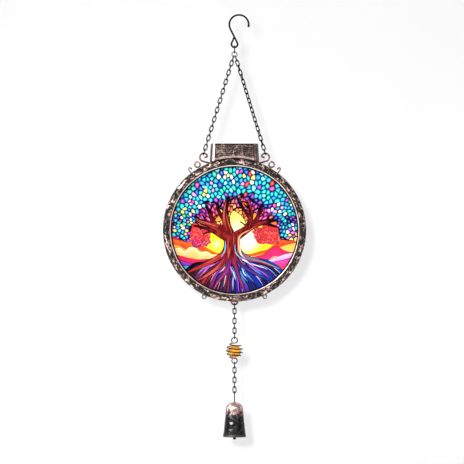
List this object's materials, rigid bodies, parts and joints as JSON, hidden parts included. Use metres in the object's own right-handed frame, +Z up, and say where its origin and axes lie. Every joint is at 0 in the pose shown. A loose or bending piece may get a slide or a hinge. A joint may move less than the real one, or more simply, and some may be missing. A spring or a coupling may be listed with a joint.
{
  "type": "hanging wind chime",
  "caption": "Hanging wind chime: round leaded-glass picture in a cast ring on two chains and an S-hook, with a caged glass bead and a small cow bell on a string below.",
  "frame": {"origin": "inside of the hook, where the load line through the hook's eye crosses the wire", "axes": "+Z up; the picture and the header's engraved face look towards -Y; +X to the viewer's right"},
  "size_m": [0.16, 0.019, 0.4745],
  "materials": {
    "black_wire": "satin black, worn bright where the links rub",
    "bright_steel": "dull zinc plate",
    "cast_ring": "embossed, dark patina over copper highlights",
    "header_casting": "engraved, dark patina over copper highlights",
    "copper_scrollwork": "antique copper",
    "back_metal": "satin antique copper",
    "pane_glass": "clear, polished",
    "picture": "printed translucent film",
    "amber_glass": "polished, with seed bubbles",
    "bell_metal": "glossy gunmetal with a copper blush at the crown"
  },
  "bodies": {
    "hook": {"s_hook": "black_wire"},
    "hanger_link": {"hanger_link": "black_wire"},
    "join_ring": {"join_ring": "bright_steel"},
    "hanger_chains": {"left_chain": "black_wire", "right_chain": "black_wire"},
    "plaque": {"frame_ring": "cast_ring", "glass_pane": "pane_glass", "picture_print": "picture", "retaining_ring": "back_metal", "retaining_screws": "bright_steel", "header_shell": "header_casting", "header_back_plate": "back_metal", "header_screws": "bright_steel", "left_large_scroll": "copper_scrollwork", "right_large_scroll": "copper_scrollwork", "left_middle_scroll": "copper_scrollwork", "right_middle_scroll": "copper_scrollwork", "left_small_scroll": "copper_scrollwork", "right_small_scroll": "copper_scrollwork", "left_lug": "cast_ring", "centre_lug": "copper_scrollwork", "lug_plate": "copper_scrollwork", "right_lug": "cast_ring"},
    "upper_link_1": {"upper_link_1": "black_wire"},
    "upper_link_2": {"upper_link_2": "black_wire"},
    "upper_link_3": {"upper_link_3": "black_wire"},
    "upper_link_4": {"upper_link_4": "black_wire"},
    "upper_link_5": {"upper_link_5": "black_wire"},
    "upper_link_6": {"upper_link_6": "black_wire"},
    "upper_link_7": {"upper_link_7": "black_wire"},
    "bead_cage": {"bead_cage": "black_wire"},
    "glass_bead": {"glass_bead": "amber_glass"},
    "lower_link_1": {"lower_link_1": "black_wire"},
    "lower_link_2": {"lower_link_2": "black_wire"},
    "lower_link_3": {"lower_link_3": "black_wire"},
    "lower_link_4": {"lower_link_4": "black_wire"},
    "lower_link_5": {"lower_link_5": "black_wire"},
    "lower_link_6": {"lower_link_6": "black_wire"},
    "bell_hanger_wire": {"bell_hanger_wire": "black_wire"},
    "bell": {"bell_shell": "bell_metal"},
    "clapper": {"clapper_rod": "black_wire", "clapper_knob": "black_wire"}
  },
  "joints": [
    {"name": "hanger_link_swing", "type": "hinge", "parent": "hook", "child": "hanger_link", "pos_m": [0, 0, -0.0338], "axis": [1, 0, 0], "range_deg": [-30, 30]},
    {"name": "join_ring_swing", "type": "hinge", "parent": "hanger_link", "child": "join_ring", "pos_m": [0, 0, -0.04018], "axis": [0, 1, 0], "range_deg": [-30, 30]},
    {"name": "chain_swing", "type": "hinge", "parent": "join_ring", "child": "hanger_chains", "pos_m": [0, 0, -0.04441], "axis": [1, 0, 0], "range_deg": [-25, 25]},
    {"name": "plaque_tilt", "type": "hinge", "parent": "hanger_chains", "child": "plaque", "pos_m": [0, 0, -0.15205], "axis": [1, 0, 0], "range_deg": [-20, 20]},
    {"name": "upper_link_1_swing", "type": "hinge", "parent": "plaque", "child": "upper_link_1", "pos_m": [0, 0, -0.3207], "axis": [1, 0, 0], "range_deg": [-20, 20]},
    {"name": "upper_link_2_swing", "type": "hinge", "parent": "upper_link_1", "child": "upper_link_2", "pos_m": [0, 0, -0.32585], "axis": [0, 1, 0], "range_deg": [-20, 20]},
    {"name": "upper_link_3_swing", "type": "hinge", "parent": "upper_link_2", "child": "upper_link_3", "pos_m": [0, 0, -0.3313], "axis": [1, 0, 0], "range_deg": [-20, 20]},
    {"name": "upper_link_4_swing", "type": "hinge", "parent": "upper_link_3", "child": "upper_link_4", "pos_m": [0, 0, -0.33675], "axis": [0, 1, 0], "range_deg": [-20, 20]},
    {"name": "upper_link_5_swing", "type": "hinge", "parent": "upper_link_4", "child": "upper_link_5", "pos_m": [0, 0, -0.3422], "axis": [1, 0, 0], "range_deg": [-20, 20]},
    {"name": "upper_link_6_swing", "type": "hinge", "parent": "upper_link_5", "child": "upper_link_6", "pos_m": [0, 0, -0.34765], "axis": [0, 1, 0], "range_deg": [-20, 20]},
    {"name": "upper_link_7_swing", "type": "hinge", "parent": "upper_link_6", "child": "upper_link_7", "pos_m": [0, 0, -0.3531], "axis": [1, 0, 0], "range_deg": [-20, 20]},
    {"name": "bead_cage_swing", "type": "hinge", "parent": "upper_link_7", "child": "bead_cage", "pos_m": [0, 0, -0.35855], "axis": [0, 1, 0], "range_deg": [-20, 20]},
    {"name": "glass_bead_spin", "type": "hinge", "parent": "bead_cage", "child": "glass_bead", "pos_m": [0, 0, -0.3728], "axis": [0, 0, 1], "continuous": true},
    {"name": "lower_link_1_swing", "type": "hinge", "parent": "bead_cage", "child": "lower_link_1", "pos_m": [0, 0, -0.38618], "axis": [1, 0, 0], "range_deg": [-20, 20]},
    {"name": "lower_link_2_swing", "type": "hinge", "parent": "lower_link_1", "child": "lower_link_2", "pos_m": [0, 0, -0.39163], "axis": [0, 1, 0], "range_deg": [-20, 20]},
    {"name": "lower_link_3_swing", "type": "hinge", "parent": "lower_link_2", "child": "lower_link_3", "pos_m": [0, 0, -0.39708], "axis": [1, 0, 0], "range_deg": [-20, 20]},
    {"name": "lower_link_4_swing", "type": "hinge", "parent": "lower_link_3", "child": "lower_link_4", "pos_m": [0, 0, -0.40253], "axis": [0, 1, 0], "range_deg": [-20, 20]},
    {"name": "lower_link_5_swing", "type": "hinge", "parent": "lower_link_4", "child": "lower_link_5", "pos_m": [0, 0, -0.40798], "axis": [1, 0, 0], "range_deg": [-20, 20]},
    {"name": "lower_link_6_swing", "type": "hinge", "parent": "lower_link_5", "child": "lower_link_6", "pos_m": [0, 0, -0.41343], "axis": [0, 1, 0], "range_deg": [-20, 20]},
    {"name": "bell_wire_swing", "type": "hinge", "parent": "lower_link_6", "child": "bell_hanger_wire", "pos_m": [0, 0, -0.41888], "axis": [1, 0, 0], "range_deg": [-20, 20]},
    {"name": "bell_spin", "type": "hinge", "parent": "bell_hanger_wire", "child": "bell", "pos_m": [0, 0, -0.42916], "axis": [0, 0, 1], "continuous": true},
    {"name": "clapper_swing", "type": "hinge", "parent": "bell_hanger_wire", "child": "clapper", "pos_m": [0, 0, -0.43746], "axis": [0, 1, 0], "range_deg": [-10, 10]}
  ]
}
